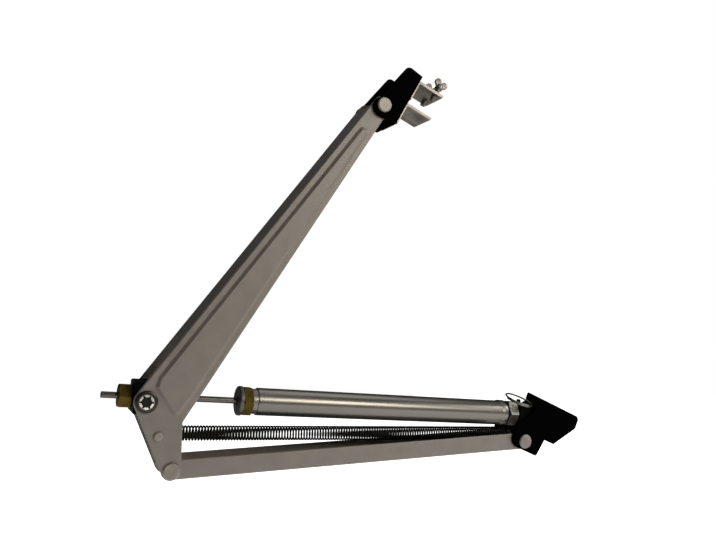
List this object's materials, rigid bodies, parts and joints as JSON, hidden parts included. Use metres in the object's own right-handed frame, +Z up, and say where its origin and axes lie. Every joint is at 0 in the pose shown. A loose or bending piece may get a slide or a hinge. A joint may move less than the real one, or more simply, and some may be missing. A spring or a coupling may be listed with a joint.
{
  "type": "greenhouse vent opener",
  "caption": "Folding two-arm vent opener with a wax cylinder and piston rod along the lower arm, a closing spring, a tilted frame bracket and a sash clamp.",
  "frame": {"origin": "middle of the frame bracket's mounting face, between its two screw holes", "axes": "+X along the lower arm from its fold to the frame bracket, +Z up, Y across the channels"},
  "size_m": [0.4454, 0.046, 0.3565],
  "materials": {
    "bracket_black": "satin black coat",
    "rivet_steel": "satin",
    "arm_coat": "warm grey fine powder coat",
    "nylon": "matte",
    "spring_steel": "dark oiled wire",
    "block_black": "matte",
    "pin_steel": "turned",
    "zinc_steel": "zinc plated",
    "rod_steel": "ground",
    "brass": "aged",
    "aluminium": "drawn",
    "rubber": "matte",
    "wax": "solid"
  },
  "bodies": {
    "frame_bracket": {"frame_bracket": "bracket_black", "base_rivet": "rivet_steel"},
    "lower_arm": {"lower_arm": "arm_coat", "thrust_washers": "nylon", "closing_spring": "spring_steel"},
    "upper_arm": {"upper_arm": "arm_coat", "main_rivet": "rivet_steel", "spring_pin": "rivet_steel"},
    "rod": {"guide_block": "block_black", "trunnion_pins": "pin_steel", "star_washers": "zinc_steel", "piston_rod": "rod_steel", "piston_head": "brass"},
    "adjusting_nut": {"adjusting_nut": "brass"},
    "cylinder": {"gland_cap": "aluminium", "gland_nut": "brass", "rod_seal": "rubber", "cylinder_tube": "aluminium", "wax_charge": "wax", "end_plug": "zinc_steel", "lock_nut": "zinc_steel", "cylinder_holder": "block_black"},
    "locking_pin": {"locking_pin": "pin_steel", "pull_ring": "rod_steel"},
    "vent_bracket": {"vent_bracket": "bracket_black", "vent_rivet": "rivet_steel", "lower_jaw": "zinc_steel", "upper_jaw": "zinc_steel", "jaw_rivets": "zinc_steel"},
    "wing_screw_front": {"wing_screw_front": "zinc_steel"},
    "wing_screw_rear": {"wing_screw_rear": "zinc_steel"}
  },
  "joints": [
    {"name": "base_pivot", "type": "hinge", "parent": "frame_bracket", "child": "lower_arm", "pos_m": [-0.04718, 0, -0.02685], "axis": [0, -1, 0], "range_deg": [-20, 20]},
    {"name": "main_fold", "type": "hinge", "parent": "lower_arm", "child": "upper_arm", "pos_m": [-0.37748, 0, -0.02685], "axis": [0, -1, 0], "range_deg": [-47, 8], "deforming": ["closing_spring"]},
    {"name": "trunnion_swing", "type": "hinge", "parent": "upper_arm", "child": "rod", "pos_m": [-0.39693, 0, 0.02716], "axis": [0, -1, 0], "range_deg": [-8, 47]},
    {"name": "cylinder_slide", "type": "slide", "parent": "rod", "child": "cylinder", "axis": [0.9958, 0, -0.0914], "range_m": [-0.0452, 0.0078]},
    {"name": "adjusting_nut_turn", "type": "hinge", "parent": "rod", "child": "adjusting_nut", "pos_m": [-0.40868, 0, 0.03044], "axis": [0.9958, 0, -0.0914], "continuous": true},
    {"name": "locking_pin_turn", "type": "hinge", "parent": "cylinder", "child": "locking_pin", "pos_m": [-0.04484, -0.0025, -0.00297], "axis": [0.0914, 0, 0.9958], "range_deg": [-12, 12]},
    {"name": "vent_pivot", "type": "hinge", "parent": "upper_arm", "child": "vent_bracket", "pos_m": [-0.19792, 0, 0.27799], "axis": [0, 1, 0], "range_deg": [-70, 10]},
    {"name": "wing_screw_front_travel", "type": "slide", "parent": "vent_bracket", "child": "wing_screw_front", "axis": [0.5075, 0, 0.8616], "range_m": [-0.006, 0.004]},
    {"name": "wing_screw_rear_travel", "type": "slide", "parent": "vent_bracket", "child": "wing_screw_rear", "axis": [0.5075, 0, 0.8616], "range_m": [-0.006, 0.004]}
  ],
  "couplings": [
    {"joint": "trunnion_swing", "follows": "main_fold", "ratio": -0.983},
    {"joint": "cylinder_slide", "follows": "main_fold", "m_per_rad": 0.055}
  ]
}
